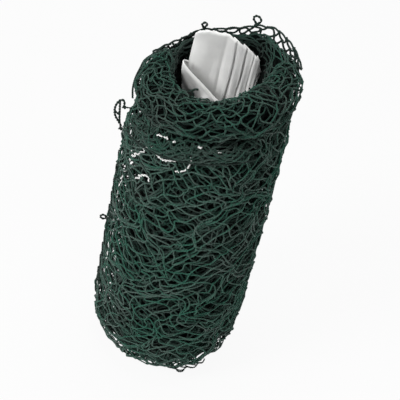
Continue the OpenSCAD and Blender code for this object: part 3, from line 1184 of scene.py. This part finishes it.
@dataclass
class Mouth:
    """Rolled mouth, its lip and cuff, and the inner ply that lines the hollow.

    Attributes:
        roll_length: About the length of the roll's profile.
        edge_h: About the height of the cuff, and of the lip at its highest.
        lining_length: About the length of the lining's profile.
    """

    sizes: BagSizes
    palette: Palette
    roll_length: float = 150 * MM
    edge_h: float = 27 * MM
    lining_length: float = 350 * MM

    def build(self) -> None:
        """Builds the roll, the lip, the cuff and the lining."""
        self.build_roll()
        self.build_lip()
        self.build_cuff()
        self.build_lining()

    def build_roll(self) -> None:
        """Plies of the roll over a packed core, in darker copies of the twine as painted shade, near black
        where tucked into the mouth.
        """
        form = RollForm(self.sizes)
        girth = self.sizes.crest_r
        over, under = (0.0, 0.72), (0.66, 1.0)
        # Painted shade: each roll ply takes a darker copy of the twine, the deeper ones and the tucked one
        # darkest.
        second, shaded, packed = self.palette.second, self.palette.shaded, self.palette.packed
        thin = {
            "roll_outer_ply": (second, Ply(
                30, 17, depth=0.8 * MM, ruffle=0.9 * MM, slack=2 * MM, drift=3 * MM, seed=103,
                v_span=over, thick=0.88,
            )),
            "roll_second_ply": (shaded, Ply(
                24, 18, depth=3.2 * MM, ruffle=1.3 * MM, slack=2.4 * MM, drift=4 * MM, seed=127,
                span=(95.0, 385.0), steps=2, v_span=over, thick=0.88,
            )),
            "roll_third_ply": (packed, Ply(
                16, 17, depth=6.2 * MM, ruffle=1.4 * MM, slack=2.2 * MM, drift=4 * MM, seed=131,
                span=(150.0, 320.0), sides=5, steps=2, v_span=over,
            )),
            "roll_tucked_ply": (packed, Ply(
                22, 8, depth=1.4 * MM, ruffle=1.2 * MM, slack=2 * MM, drift=3 * MM, seed=137,
                steps=2, v_span=under,
            )),
        }  # fmt: skip
        for name, (finish, ply) in thin.items():
            piece = lay_plies(name, [ply], form, girth, self.roll_length, self.sizes, finish)
            if finish is second:
                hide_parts("mouth_roll")
        self.build_roll_core(form)

    def build_roll_core(self, form: RollForm) -> None:
        """Packing inside the roll, in near-black twine as painted shade."""
        rng = np.random.default_rng(139)
        theta = all_round(180)
        v = np.linspace(0.02, 0.96, 70)[None, :]
        lump = Ripple(rng, 34, 12, 20)
        back = ramp(np.sin(theta), 0.3, 0.85)
        depth = (9.5 * MM + 1.1 * MM * lump(theta, v)) * (1 - 0.76 * back)
        store = MeshStore()
        store.shell(form.place(theta, v, depth)[0], ring=True)
        piece = store.build("roll_core", self.palette.packed, "bag")

    def build_lip(self) -> None:
        """Single open ply that stands up behind the mouth."""
        s = self.sizes
        span = (s.rim_turns[0], s.rim_turns[-1])
        ply = Ply(
            15, 4, depth=0.0, ruffle=0.4 * MM, slack=1.4 * MM, drift=0.8 * MM, seed=149,
            span=span, thick=1.3, curl=1.2 * MM,
        )  # fmt: skip
        piece = lay_plies("rim_lip_ply", [ply], RimForm(s), s.roll_r, self.edge_h, s, self.palette.cord)
        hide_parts("rim_lip")

    def build_cuff(self) -> None:
        """Skirt of turned-down net."""
        plies = [
            Ply(
                columns, rows, depth=depth, ruffle=0.8 * MM, slack=2 * MM, drift=2 * MM, seed=seed,
                span=self.sizes.cuff_span, curl=1.5 * MM,
            )
            for columns, rows, depth, seed in ((10, 5, 0.8 * MM, 151), (11, 4, 2.4 * MM, 157))
        ]  # fmt: skip
        form = CuffForm(self.sizes)
        # Painted shade: the cuff takes the slightly darker copy of the twine.
        piece = lay_plies("cuff_plies", plies, form, form.r, self.edge_h, self.sizes, self.palette.second)
        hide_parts("cuff_net")

    def build_lining(self) -> None:
        """Inner ply, down the hollow and across its floor, in near-black twine as painted shade."""
        form = LiningForm(self.sizes)
        ply = Ply(
            17, 48, depth=0.6 * MM, ruffle=0.7 * MM, slack=1.6 * MM, drift=3 * MM, seed=163, steps=2
        )
        girth, packed = self.sizes.hollow_r, self.palette.packed
        piece = lay_plies("lining_ply", [ply], form, girth, self.lining_length, self.sizes, packed)
        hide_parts("inner_net_lining", "inner_net_floor")


@dataclass
class Cords:
    """Twisted cords, lacing and the slack loops that stand out of the net."""

    sizes: BagSizes
    palette: Palette
    loop_turn: float = math.radians(188)

    def cord(
        self, name: str, paths: Sequence[Array], radius: float, strands: int, body: str, *nodes: str
    ) -> bpy.types.Object:
        """Makes one piece of twisted cord.

        Args:
            name: The piece's name.
            paths: Its routes, each (n, 3).
            radius: Radius of the whole cord.
            strands: Number of strands twisted together.
            body: The body that it rides on.
            nodes: The nodes that it stands for.

        Returns:
            The new object.
        """
        share = {2: 0.53, 3: 0.49}[strands]
        store = MeshStore()
        for number, route in enumerate(paths):
            fine = smooth_path(route, 6)
            run = running(np.linalg.norm(np.diff(fine, axis=0), axis=1))
            even = np.linspace(0, run[-1], max(int(run[-1] / (radius * 0.55)), 8))
            path = np.stack([np.interp(even, run, fine[:, k]) for k in range(3)], axis=-1)
            first = np.cross(path[1] - path[0], START_ACROSS)
            normals = carried_normals(path, first)
            lines, out = twisted(path, normals, strands, radius * (1 - share), radius * 5.5)
            shade = np.full(strands, 0.25 + 0.5 * ((number * 0.37) % 1))
            store.tubes(lines, out, radius * share, 8, TWIST, shade)
        piece = store.build(name, self.palette.cord, body)
        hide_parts(*nodes)
        return piece

    def ring(self, ring_r: float, low: float, high: float, height: Callable[[Array, Array], Array]) -> Array:
        """Route round the bag between two directions, in degrees, at a height that may vary."""
        turn = np.radians(np.linspace(low, high, max(int(abs(high - low) / 6), 6)))
        x, y = ring_r * np.cos(turn), ring_r * np.sin(turn)
        return np.stack([x, y, height(x, y)], axis=-1)

    @staticmethod
    def loop(loop_r: float, neck: float, leg: float) -> Array:
        """Route of a slack loop that stands up along Z on two legs, in the XZ plane."""
        turn = np.radians(np.arange(235, -56, -29.0))
        arc = np.stack([loop_r * np.cos(turn), 0 * turn, neck + loop_r + loop_r * np.sin(turn)], axis=-1)
        foot = np.array([[-leg, 0, -1 * MM], [-leg, 0, neck / 2]])
        return np.concatenate([foot, arc, foot[::-1] * (-1, 1, 1)])

    @staticmethod
    def moved(route: Array, *steps: Matrix) -> Array:
        """The route after a chain of matrices, the last of which acts first."""
        whole = Matrix.Identity(4)
        for step in steps:
            whole = whole @ step
        return np.array([whole @ Vector(point) for point in route])

    def build(self) -> None:
        """Builds every cord and loop."""
        s = self.sizes
        gap = 0.3 * MM
        self.build_rim()
        edge_r = s.wall_r + gap + s.cord_r
        drop = s.cuff_drop + s.cord_r + 0.6 * MM
        edge = self.ring(edge_r, *s.cuff_span, lambda x, y: s.seam_at(x, y) - drop)
        self.cord("cuff_drawn_cord", [edge], s.cord_r * 0.8, 3, "bag", "cuff_edge_cord")

        gather_z = s.pucker_h - s.cord_r - gap
        gather = self.ring(12 * MM, 0, 360, lambda x, y: x * 0 + gather_z)
        self.cord("base_drawn_cord", [gather], s.cord_r, 3, "bag", "base_gather_cord")
        self.build_knot(gather_z)
        self.build_lacing()
        self.build_hang_loop()
        self.build_small_loops()

    def build_rim(self) -> None:
        """Selvedge cord along the lip, scalloped by its meshes, and the loose strand at the left."""
        s = self.sizes
        turn = np.linspace(s.rim_turns[0], s.rim_turns[-1], 85)
        theta = np.radians(turn)
        scallop = np.abs(np.sin((turn - s.rim_turns[0]) / 9.6 * math.pi)) * 1.6 * MM
        wobble = Ripple(np.random.default_rng(241), 24, 0.0, 7)
        out = s.rim_t / 2 + 0.7 * MM * wobble(theta, 0 * theta)
        rim = s.rim_point(theta, out, s.rim_rise(theta) + scallop - 0.8 * MM)
        loose_turn = np.radians([140, 146, 152, 158, 164, 170, 176, 182, 188])
        loose_out = np.array([0.2, 1.6, 0.4, -0.4, 0.6, -0.2, 0.8, 0.4, -1.5]) * MM
        loose_up = np.array([10.5, 12, 9.5, 9, 5, 0, -7, -14, -21]) * MM
        loose = s.rim_point(loose_turn, loose_out, loose_up)
        self.cord("rim_selvedge_cord", [rim, loose], s.cord_r * 0.75, 3, "bag", "rim_cord")

    @staticmethod
    def knot_route(size: float) -> Array:
        """Route of an overhand knot of about this radius."""
        t = np.linspace(0, TURN, 33)
        x, y = np.sin(t) + 2 * np.sin(2 * t), np.cos(t) - 2 * np.cos(2 * t)
        return np.stack([x, y, -1.6 * np.sin(3 * t)], axis=-1) * size / 3.6

    def build_knot(self, height: float) -> None:
        """Knot of the gathering cord, with two tails."""
        s = self.sizes
        lump = 2.4 * MM
        low = height - lump + s.cord_r - 0.3 * MM
        at = Matrix.Translation((12 * MM - s.cord_r - lump - 0.3 * MM, 0, low))
        tails = [
            np.array([[0, 0, 0], [-3, side * 1.2, 0.3], [-7, side * 3, 0.6]]) * MM for side in (1, -1)
        ]
        routes = [self.moved(route, at) for route in (self.knot_route(lump), *tails)]
        self.cord("base_cord_knot", routes, s.twine_r, 2, "bag", "base_knot")

    def build_lacing(self) -> None:
        """Zigzag of twine up the left side."""
        s = self.sizes
        steps, turn, half = 22, math.radians(196), math.radians(3.2)
        step = np.arange(steps + 1)
        angle = turn + half * np.where(step % 2 == 0, 1, -1)
        lace_r = s.wall_r + 0.5 * MM + s.twine_r
        low, high = s.base_h + 6 * MM, s.seam_z - 70 * MM
        rise = low + (high - low) * step / steps
        route = np.stack([lace_r * np.cos(angle), lace_r * np.sin(angle), rise], axis=-1)
        self.cord("side_lacing_twine", [route], s.twine_r, 2, "bag", "side_lacing")

    def build_hang_loop(self) -> None:
        """Pulled-out loop on the left with its two knots."""
        s = self.sizes
        knot_r = 2.4 * MM
        axis_r = s.wall_r + knot_r + 0.6 * MM
        low = s.seam_z - 54 * MM
        base = Matrix.Rotation(self.loop_turn, 4, "Z") @ Matrix.Translation((axis_r, 0, low))
        outer = [
            (0, 0, 3.2), (1, 0, 5.6), (3.6, 0, 10), (7.2, 0, 16), (9, 0, 23),
            (8.8, 0, 30), (6.6, 0, 36.5), (3, 0, 39.4), (0.8, 0, 37.2), (0.2, 0, 33.4),
        ]  # fmt: skip
        rung = [(1.8, 0, 7), (2.9, 0, 14), (3.9, 0, 24), (5.2, 0, 37.6)]
        link = [(9, 0, 23.4), (6.2, 0, 20.6), (3.5, 0, 20)]
        routes = [self.moved(np.array(route) * MM, base) for route in (outer, rung, link)]
        self.cord("pulled_out_loop", routes, s.twine_r * 1.6, 2, "hang_loop", "hang_loop")
        ties = []
        for rise, reach in ((0, 4.5), (30 * MM, 10.5)):
            leg = np.array([[0, 0, 0], [-reach / 2, 0.4, 0.2], [-reach, 0, -0.6]]) * MM
            up = base @ Matrix.Translation((0, 0, rise))
            ties += [self.moved(self.knot_route(knot_r * 0.85), up), self.moved(leg, up)]
        self.cord("loop_knots", ties, s.twine_r * 1.1, 2, "bag", "hang_loop_knots")

    def build_small_loops(self) -> None:
        """Slack loops on the rim, the left wall, the roll's inner edge and the bottom."""
        s = self.sizes
        leg = s.twine_r + 0.15 * MM
        rim = []
        for turn, loop_r, neck in ((72, 4.2, 0.8), (109, 2.6, 0.8)):
            theta = np.array(math.radians(turn))
            foot = s.rim_point(theta, s.rim_t / 2, s.rim_rise(theta) + s.cord_r + 1.4 * MM)
            spin = Matrix.Rotation(math.radians(turn + 90), 4, "Z")
            rim.append(self.moved(self.loop(loop_r * MM, neck * MM, leg), Matrix.Translation(foot), spin))
        self.cord("rim_slack_loops", rim, s.twine_r * 1.6, 2, "bag", "rim_loops")

        out = Matrix.Rotation(math.pi / 2, 4, "Y")
        spin = Matrix.Rotation(math.radians(184), 4, "Z")
        at = Matrix.Translation((s.wall_r + 1.3 * MM, 0, 0.41 * s.bag_h))
        side = self.moved(self.loop(3 * MM, 0.4 * MM, leg), spin, at, out)
        self.cord("side_slack_loop", [side], s.twine_r * 1.5, 2, "bag", "side_loop")
        self.build_base_loops()
        self.build_hook()

    def bowl_point(self, turn: float, off: float, bend: float = 45.0) -> tuple[float, float, float]:
        """Point beside the rounded bottom, at a direction and a place on its arc, in degrees."""
        s = self.sizes
        a, b = math.radians(turn), math.radians(bend)
        r = s.foot_r + (s.wall_r - s.foot_r) * math.sin(b) + off * MM * math.cos(b)
        z = s.base_h * (1 - math.cos(b)) - off * MM * math.sin(b)
        return r * math.cos(a), r * math.sin(a), max(z, s.twine_r * 1.5)

    def build_base_loops(self) -> None:
        """Row of slack meshes that hangs off the bottom, with the twine that ties it back."""
        offs = (1, 3.4, 4, 1.6, 3.8, 4.4, 2, 3.6, 1)
        swag = [self.bowl_point(291 + 4 * number, off) for number, off in enumerate(offs)]
        routes = [np.array(swag)]
        for turn, off in ((296, 3.8), (303, 1.8), (308, 3.9), (313.5, 3.2), (319, 3.4)):
            tie = [
                self.bowl_point(turn, off, 45), self.bowl_point(turn - 1.5, off * 0.6, 41),
                self.bowl_point(turn - 3.5, 0.2, 36),
            ]  # fmt: skip
            routes.append(np.array(tie))
        drop = [(293, 1, 44), (294, 4.6, 46), (297, 5.8, 47), (299.5, 4.6, 46), (300, 3, 45)]
        routes.append(np.array([self.bowl_point(*place) for place in drop]))
        self.cord("base_slack_loops", routes, self.sizes.twine_r, 2, "bag", "base_loops")

    def build_hook(self) -> None:
        """Stray bight of twine that curls over the roll's inner edge in front."""
        bight = [(-27, -40, 395), (-26, -39, 401.5), (-23.5, -38, 405.5), (-20.5, -38, 404.5)]
        bight.append((-19, -39, 400))
        tail = [(-22.5, -38, 405), (-19, -37, 408), (-15.5, -36.5, 408)]
        routes = [np.array(route) * MM for route in (bight, tail)]
        piece = self.twine_piece("inner_edge_bight", routes, self.sizes.twine_r * 1.3)

    def twine_piece(self, name: str, routes: Sequence[Array], radius: float) -> bpy.types.Object:
        """Plain tubes of twine that stand for no CAD node."""
        store = MeshStore()
        for route in routes:
            path = smooth_path(route, 6)
            normals = carried_normals(path, START_ACROSS)
            store.tubes(path[None], normals[None], radius, 8, TWIST, np.array([0.4]))
        return store.build(name, self.palette.cord, "bag")


@dataclass
class HemCord:
    """White draw cord that shows between the meshes under the roll and down the left."""

    sizes: BagSizes
    palette: Palette
    cord_r: float = 0.75 * MM

    def build(self) -> None:
        """Builds the cord's stretches, each a depth and a route round the bag."""
        stretches = [
            (0.7, [(216, 304), (219, 315), (225.5, 330), (231, 343), (235, 349), (237, 347), (242, 343),
                   (247, 343), (252, 347), (256, 351)]),
            (1.3, [(225, 292), (228, 298), (231, 303), (236, 308), (239, 304)]),
            (1.5, [(256, 335), (261, 339), (265, 347), (266, 355), (265, 361)]),
            (0.8, [(238, 369), (240.5, 370.5)]),
            (0.8, [(243, 371.5), (244.5, 372.5), (246.5, 372)]),
            (0.8, [(251, 372.5), (253, 373)]),
            (0.8, [(268, 377), (270.5, 378)]),
            (0.8, [(282, 376), (284, 374.5)]),
            (2.2, [(205, 112), (203, 128), (206, 142), (204, 160), (203, 185), (205, 205), (203, 228),
                   (204, 250), (206, 266), (209, 282)]),
        ]  # fmt: skip
        store = MeshStore()
        wobble = Ripple(np.random.default_rng(257), 60, 0.0, 9)
        for depth, stretch in stretches:
            turn, height = np.radians([a for a, _ in stretch]), np.array([z for _, z in stretch]) * MM
            flat = np.stack([turn, height, 0 * turn], axis=-1)
            dense = smooth_path(flat, 14)
            theta, z = dense[:, 0], dense[:, 1]
            theta = theta + 0.012 * wobble(theta * 3, theta * 0)
            r = self.sizes.wall_r - depth * MM + 0.6 * MM * wobble(theta * 5, theta * 0)
            path = np.stack([r * np.cos(theta), r * np.sin(theta), z], axis=-1)
            normals = carried_normals(path, (0.1, 0.2, 0.9))
            store.tubes(path[None], normals[None], self.cord_r, 7, 3 * MM, np.array([0.5]))
        piece = store.build("white_hem_cord", self.palette.cotton, "bag")


@dataclass
class Liner:
    """Cotton cloth folded into upright pleats, with one corner turned back in front."""

    sizes: BagSizes
    palette: Palette
    cloth_t: float = 0.9 * MM
    pleats: tuple[float, ...] = (10.0, 20.7, 29.5, 36.5)

    def fold_route(self) -> Array:
        """Route of the cloth across its folds at the top, in the XY plane, in metres."""
        route = [(-27, 46.5), (-31.5, 45), (-33.8, 42), (-31.5, 39.8), (-25, 39.4), (-17, 40.6), (-9, 42.4)]
        route += [(-3, 43.2), (0.5, 44.4), (4, 43.2)]
        front = (42.2, 43.3, 44.4, 45.4)
        right = (*self.pleats[1:], 42.5)
        for edge, depth, end in zip(self.pleats, front, right):
            route += [(edge - 1.4, depth), (edge + 0.4, depth + 0.1), (edge + 0.9, depth + 0.8)]
            route += [(edge - 0.4, depth + 1.1), (edge - 3.2, depth + 1.1), (edge - 3.6, depth + 1.6)]
            route += [(edge - 1.5, depth + 2.1), (edge + 1.5, depth + 1.9), ((edge + end) / 2, depth + 0.6)]
        route += [(41.5, 49), (42.6, 50.3), (41, 51.6), (34, 52), (24, 51.6)]
        route += [(12, 50.6), (-2, 49.6), (-16, 48.6)]
        return np.array(route) * MM

    @staticmethod
    def eased(route: Array, reach: int = 16) -> Array:
        """The route with its pleats smoothed out, as they open towards the cloth's top edge."""
        kernel = np.hanning(2 * reach + 3)[1:-1]
        padded = np.pad(route, ((reach, reach), (0, 0)), mode="edge")
        return np.column_stack([np.convolve(padded[:, k], kernel / kernel.sum(), "valid") for k in range(2)])

    def crest(self, across: Array) -> Array:
        """Height of the front folds' top edge at each distance from the bag's middle."""
        places = np.array([-36, -33.5, -30, -19.5, 1.6, 11.3, 20.7, 28.6, 35, 42.8, 46]) * MM
        tops = np.array([411, 415, 418.6, 421.5, 420, 414.5, 408.5, 402.5, 397, 388, 386]) * MM
        return np.interp(across, places, tops)

    def build(self) -> None:
        """Builds the folded cloth and its turned corner."""
        self.build_cloth()
        self.build_flap()

    def build_cloth(self) -> None:
        """The folded cloth, from the hollow's floor to above the roll, leaning back on the lip."""
        low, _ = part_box("liner_cloth")
        route = smooth_path(self.fold_route(), 5)
        count, rows = len(route), 100
        t = np.linspace(0, 1, rows)[None, :]
        foot = low[2] + 1 * MM
        across = np.linspace(0, 1, count)[:, None]
        centre_x = 3 * MM
        narrow = 0.74 + 0.26 * ramp(t, 0.35, 0.97)
        even = self.eased(route)
        open_top = 0.6 * ramp(t, 0.88, 1.0)
        across_x = route[:, 0, None] + (even[:, 0, None] - route[:, 0, None]) * open_top
        x = centre_x + (across_x - centre_x) * narrow
        lean = -21 * MM * (1 - ramp(t, 0.55, 1.05))
        y = route[:, 1, None] + (even[:, 1, None] - route[:, 1, None]) * open_top + lean
        last = np.arange(count)[:, None] / count
        behind = ramp(last, 0.8, 0.88) + 1 - ramp(last, 0.0, 0.05)
        top = self.crest(route[:, 0, None]) - 11 * MM * np.clip(behind, 0, 1)
        z = foot + (top - foot) * t
        rng = np.random.default_rng(211)
        wave, fine = Ripple(rng, 6, 5, 8), Ripple(rng, 14, 9, 10)
        x = x + 0.9 * MM * wave(across * TURN, t) * (1 - 0.75 * t)
        y = y + 0.7 * MM * wave(across * TURN + 1.7, t) * (1 - 0.6 * t) + 0.22 * MM * fine(across * TURN, t)
        middle = np.stack(np.broadcast_arrays(x, y, z), axis=-1)
        piece = self.sheet_piece("folded_cloth", middle)
        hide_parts("liner_cloth")

    def build_flap(self) -> None:
        """Corner turned round the left edge and back in front, its top edge falling to the right."""
        low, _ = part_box("liner_flap")
        plan = [
            (-33, 30), (-36, 27.5), (-37.8, 23), (-38, 18.5), (-36.8, 15), (-33, 13.6), (-27, 12.6),
            (-20, 11.6), (-12, 10.4), (-4, 9), (2, 8), (6, 7.6),
        ]  # fmt: skip
        tops = np.array([386, 388, 390.5, 393, 393, 389.6, 384.5, 378.8, 372.6, 367, 363, 360.5]) * MM
        flat = np.column_stack([np.array(plan) * MM, tops])
        route = smooth_path(flat, 6)
        count, rows = len(route), 60
        a = np.linspace(0, 1, count)[:, None]
        t = np.linspace(0, 1, rows)[None, :]
        x, y, crest = (route[:, k, None] for k in range(3))
        z = low[2] + 14 * MM + (crest - low[2] - 14 * MM) * t
        rng = np.random.default_rng(223)
        wave = Ripple(rng, 5, 4, 8)
        tucks = hump(a - 0.86 + 0.5 * (1 - t), 0.0, 0.05) * ramp(t, 0.35, 0.75) * (1 - ramp(t, 0.8, 0.97))
        fold = hump((1 - t) * (crest - low[2]), 0.0, 2.4 * MM)
        y = y + 0.4 * MM * wave(a * 4, t) - 2.4 * MM * tucks + 1.6 * MM * fold * ramp(a, 0.3, 0.45)
        left = 1 - ramp(x, -32 * MM, -12 * MM)
        x = x + 5 * MM * left * (1 - ramp(z, 352 * MM, 386 * MM))
        middle = np.stack(np.broadcast_arrays(x, y, z), axis=-1)
        piece = self.sheet_piece("turned_corner", middle)
        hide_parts("liner_flap")

    def sheet_piece(self, name: str, middle: Array) -> bpy.types.Object:
        """Gives a grid of points the cloth's thickness and makes the piece.

        Args:
            name: The piece's name.
            middle: Points midway through the cloth, (across, along, 3).

        Returns:
            The new object.
        """
        normal = unit(np.cross(np.gradient(middle, axis=0), np.gradient(middle, axis=1)))
        half = normal * self.cloth_t / 2
        store = MeshStore()
        store.sheet(middle + half, middle - half)
        piece = store.build(name, self.palette.cotton, "liner")
        return piece


# ---------------------------------------------------------------------------------------------
# Stage
# ---------------------------------------------------------------------------------------------


class Lamp(Enum):
    """Soft lamps round the bag: place, size and power."""

    KEY = ((-1.4, -1.1, 1.9), 0.8, 44.0)
    FILL = ((1.3, -1.6, 1.1), 1.6, 12.0)
    TOP = ((-0.1, 0.1, 2.1), 1.2, 25.0)


@dataclass
class Studio:
    """Pale floor, soft lamps and the camera.

    Attributes:
        elevation: Angle of the camera above the horizon.
        roll: Angle by which the camera is turned about its own line of sight.
        floor_z: Height of the floor, just clear of the foot.
        floor_seen: Brightness of the floor as the camera sees it.
        floor_share: How much of what the camera sees of the floor is that even brightness.
        room_light: Strength of the surroundings as a light.
        room_seen: Brightness of the surroundings as the camera sees them.
    """

    sizes: BagSizes
    elevation: float = math.radians(45)
    distance: float = 1.70
    lens: float = 142.3
    roll: float = math.radians(13.3)
    aim: tuple[float, float, float] = (10.7 * MM, 0.0, 224 * MM)
    floor_z: float = -0.4 * MM
    floor_seen: float = 0.97
    floor_share: float = 0.96
    room_light: float = 0.22
    room_seen: float = 0.98

    def build(self) -> None:
        """Builds the whole stage."""
        self.build_floor()
        for lamp in Lamp:
            self.add_lamp(lamp)
        self.set_world()
        self.place_camera()
        bpy.context.scene.view_settings.view_transform = "Standard"

    def build_floor(self) -> None:
        """A wide pale floor that catches only a faint shadow."""
        rings = np.linspace(0.05, 6.0, 12)
        turn = all_round(64)
        grid = np.stack(np.broadcast_arrays(rings * np.cos(turn), rings * np.sin(turn), self.floor_z), -1)
        graph = Graph.of_material("pale_floor")
        glow = graph.node("ShaderNodeEmission", {}, {"Color": (1, 1, 1, 1), "Strength": self.floor_seen})
        matt = graph.node("ShaderNodeBsdfDiffuse", {}, {"Color": (0.9, 0.9, 0.9, 1)})
        seen = graph.node("ShaderNodeLightPath", {}, {}, output="Is Camera Ray")
        both = graph.node("ShaderNodeMixShader", {}, {0: seen * self.floor_share, 1: matt, 2: glow})
        graph.node("ShaderNodeOutputMaterial", {}, {"Surface": both})
        around, along = grid.shape[:2]
        index = np.arange(around * along).reshape(around, along)
        ahead = np.roll(index, -1, 0)
        quads = np.stack([index[:, :-1], index[:, 1:], ahead[:, 1:], ahead[:, :-1]], -1).reshape(-1, 4)
        middle = index[:, 0][None, :]
        mesh = bpy.data.meshes.new("studio_floor")
        mesh.from_pydata(grid.reshape(-1, 3).tolist(), [], quads.tolist() + middle.tolist())
        mesh.materials.append(graph.owner)
        floor = bpy.data.objects.new("studio_floor", mesh)
        bpy.context.scene.collection.objects.link(floor)

    def add_lamp(self, lamp: Lamp) -> None:
        """Adds one soft lamp that faces the bag."""
        place, size, power = lamp.value
        light = bpy.data.lights.new(lamp.name.lower(), "AREA")
        light.shape = "DISK"
        light.size = size
        light.energy = power
        holder = bpy.data.objects.new(lamp.name.lower(), light)
        holder.location = place
        toward = Vector((0, 0, self.sizes.bag_h / 2)) - Vector(place)
        holder.rotation_euler = toward.to_track_quat("-Z", "Y").to_euler()
        bpy.context.scene.collection.objects.link(holder)

    def set_world(self) -> None:
        """White surroundings: bright to the eye, gentle as a light."""
        world = bpy.data.worlds.new("pale_room")
        bpy.context.scene.world = world
        graph = Graph(world)
        seen = graph.node("ShaderNodeLightPath", {}, {}, output="Is Camera Ray")
        lit, back = (
            graph.node("ShaderNodeBackground", {}, {"Color": (1, 1, 1, 1), "Strength": strength})
            for strength in (self.room_light, self.room_seen)
        )
        both = graph.node("ShaderNodeMixShader", {}, {0: seen, 1: lit, 2: back})
        graph.node("ShaderNodeOutputWorld", {}, {"Surface": both})

    def place_camera(self) -> None:
        """Camera in front and above, rolled so that the upright bag leans to the right."""
        data = bpy.data.cameras.new("camera")
        data.sensor_width = 36.0
        data.lens = self.lens
        camera = bpy.data.objects.new("camera", data)
        back = Vector((0, -math.cos(self.elevation), math.sin(self.elevation)))
        camera.location = Vector(self.aim) + back * self.distance
        look = (-back).to_track_quat("-Z", "Y").to_matrix().to_4x4()
        camera.rotation_euler = (look @ Matrix.Rotation(self.roll, 4, "Z")).to_euler()
        bpy.context.scene.collection.objects.link(camera)
        bpy.context.scene.camera = camera


def main() -> None:
    """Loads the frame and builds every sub-assembly in order."""
    logging.basicConfig(level=logging.INFO, format="%(message)s")
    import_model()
    sizes = BagSizes.from_frame()
    palette = Palette()
    Studio(sizes).build()
    NetBody(sizes, palette).build()
    Mouth(sizes, palette).build()
    Cords(sizes, palette).build()
    HemCord(sizes, palette).build()
    Liner(sizes, palette).build()
    LOG.info("pieces done")


if __name__ == "__main__":
    main()
